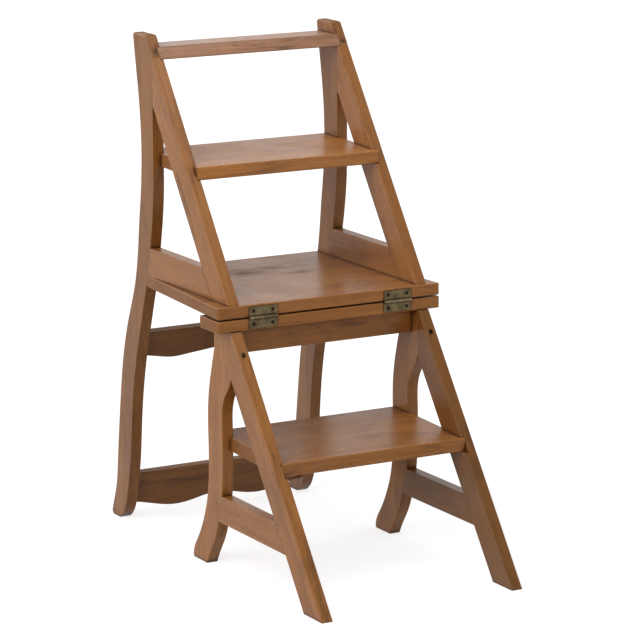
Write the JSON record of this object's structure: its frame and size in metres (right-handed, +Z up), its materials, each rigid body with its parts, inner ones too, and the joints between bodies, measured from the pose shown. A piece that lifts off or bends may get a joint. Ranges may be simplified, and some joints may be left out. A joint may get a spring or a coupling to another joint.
{
  "type": "folding library step chair",
  "caption": "Wooden chair whose rear frame swings over on two brass hinges and stands as a step ladder, shown here as the ladder.",
  "frame": {"origin": "on the floor, in the middle of the ladder's footprint", "axes": "+X to the ladder's right-hand side, -Y to the front where a person climbs, +Z up"},
  "size_m": [0.44, 0.777, 0.9],
  "materials": {
    "wood": "satin varnished hardwood",
    "dowel": "plain beech",
    "brass": "aged brass",
    "screw": "dark steel"
  },
  "bodies": {
    "standing_frame": {"apron_dowels": "dowel", "frame_screws": "screw", "front_apron": "wood", "front_board_dowels": "dowel", "front_seat_board": "wood", "left_front_leg": "wood", "left_hinge_pin": "brass", "left_lower_diagonal": "wood", "left_lower_hinge_leaf": "brass", "left_lower_side_rail": "wood", "lower_diagonal_dowels": "dowel", "lower_hinge_screws": "screw", "lower_side_rail_dowels": "dowel", "lower_step": "wood", "lower_step_dowels": "dowel", "right_front_leg": "wood", "right_hinge_pin": "brass", "right_lower_diagonal": "wood", "right_lower_hinge_leaf": "brass", "right_lower_side_rail": "wood"},
    "swinging_frame": {"back_mid_rail": "wood", "back_rail_dowels": "dowel", "crest_rail": "wood", "diagonal_foot_dowels": "dowel", "left_back_post": "wood", "left_upper_diagonal": "wood", "left_upper_hinge_leaf": "brass", "left_upper_side_rail": "wood", "rear_board_dowels": "dowel", "rear_seat_board": "wood", "right_back_post": "wood", "right_upper_diagonal": "wood", "right_upper_hinge_leaf": "brass", "right_upper_side_rail": "wood", "top_step": "wood", "top_step_dowels": "dowel", "upper_diagonal_dowels": "dowel", "upper_hinge_screws": "screw", "upper_side_rail_dowels": "dowel", "upper_step": "wood", "upper_step_dowels": "dowel"}
  },
  "joints": [
    {"name": "seat_fold", "type": "hinge", "parent": "standing_frame", "child": "swinging_frame", "pos_m": [0, -0.0785, 0.45], "axis": [1, 0, 0], "range_deg": [0, 180]}
  ]
}
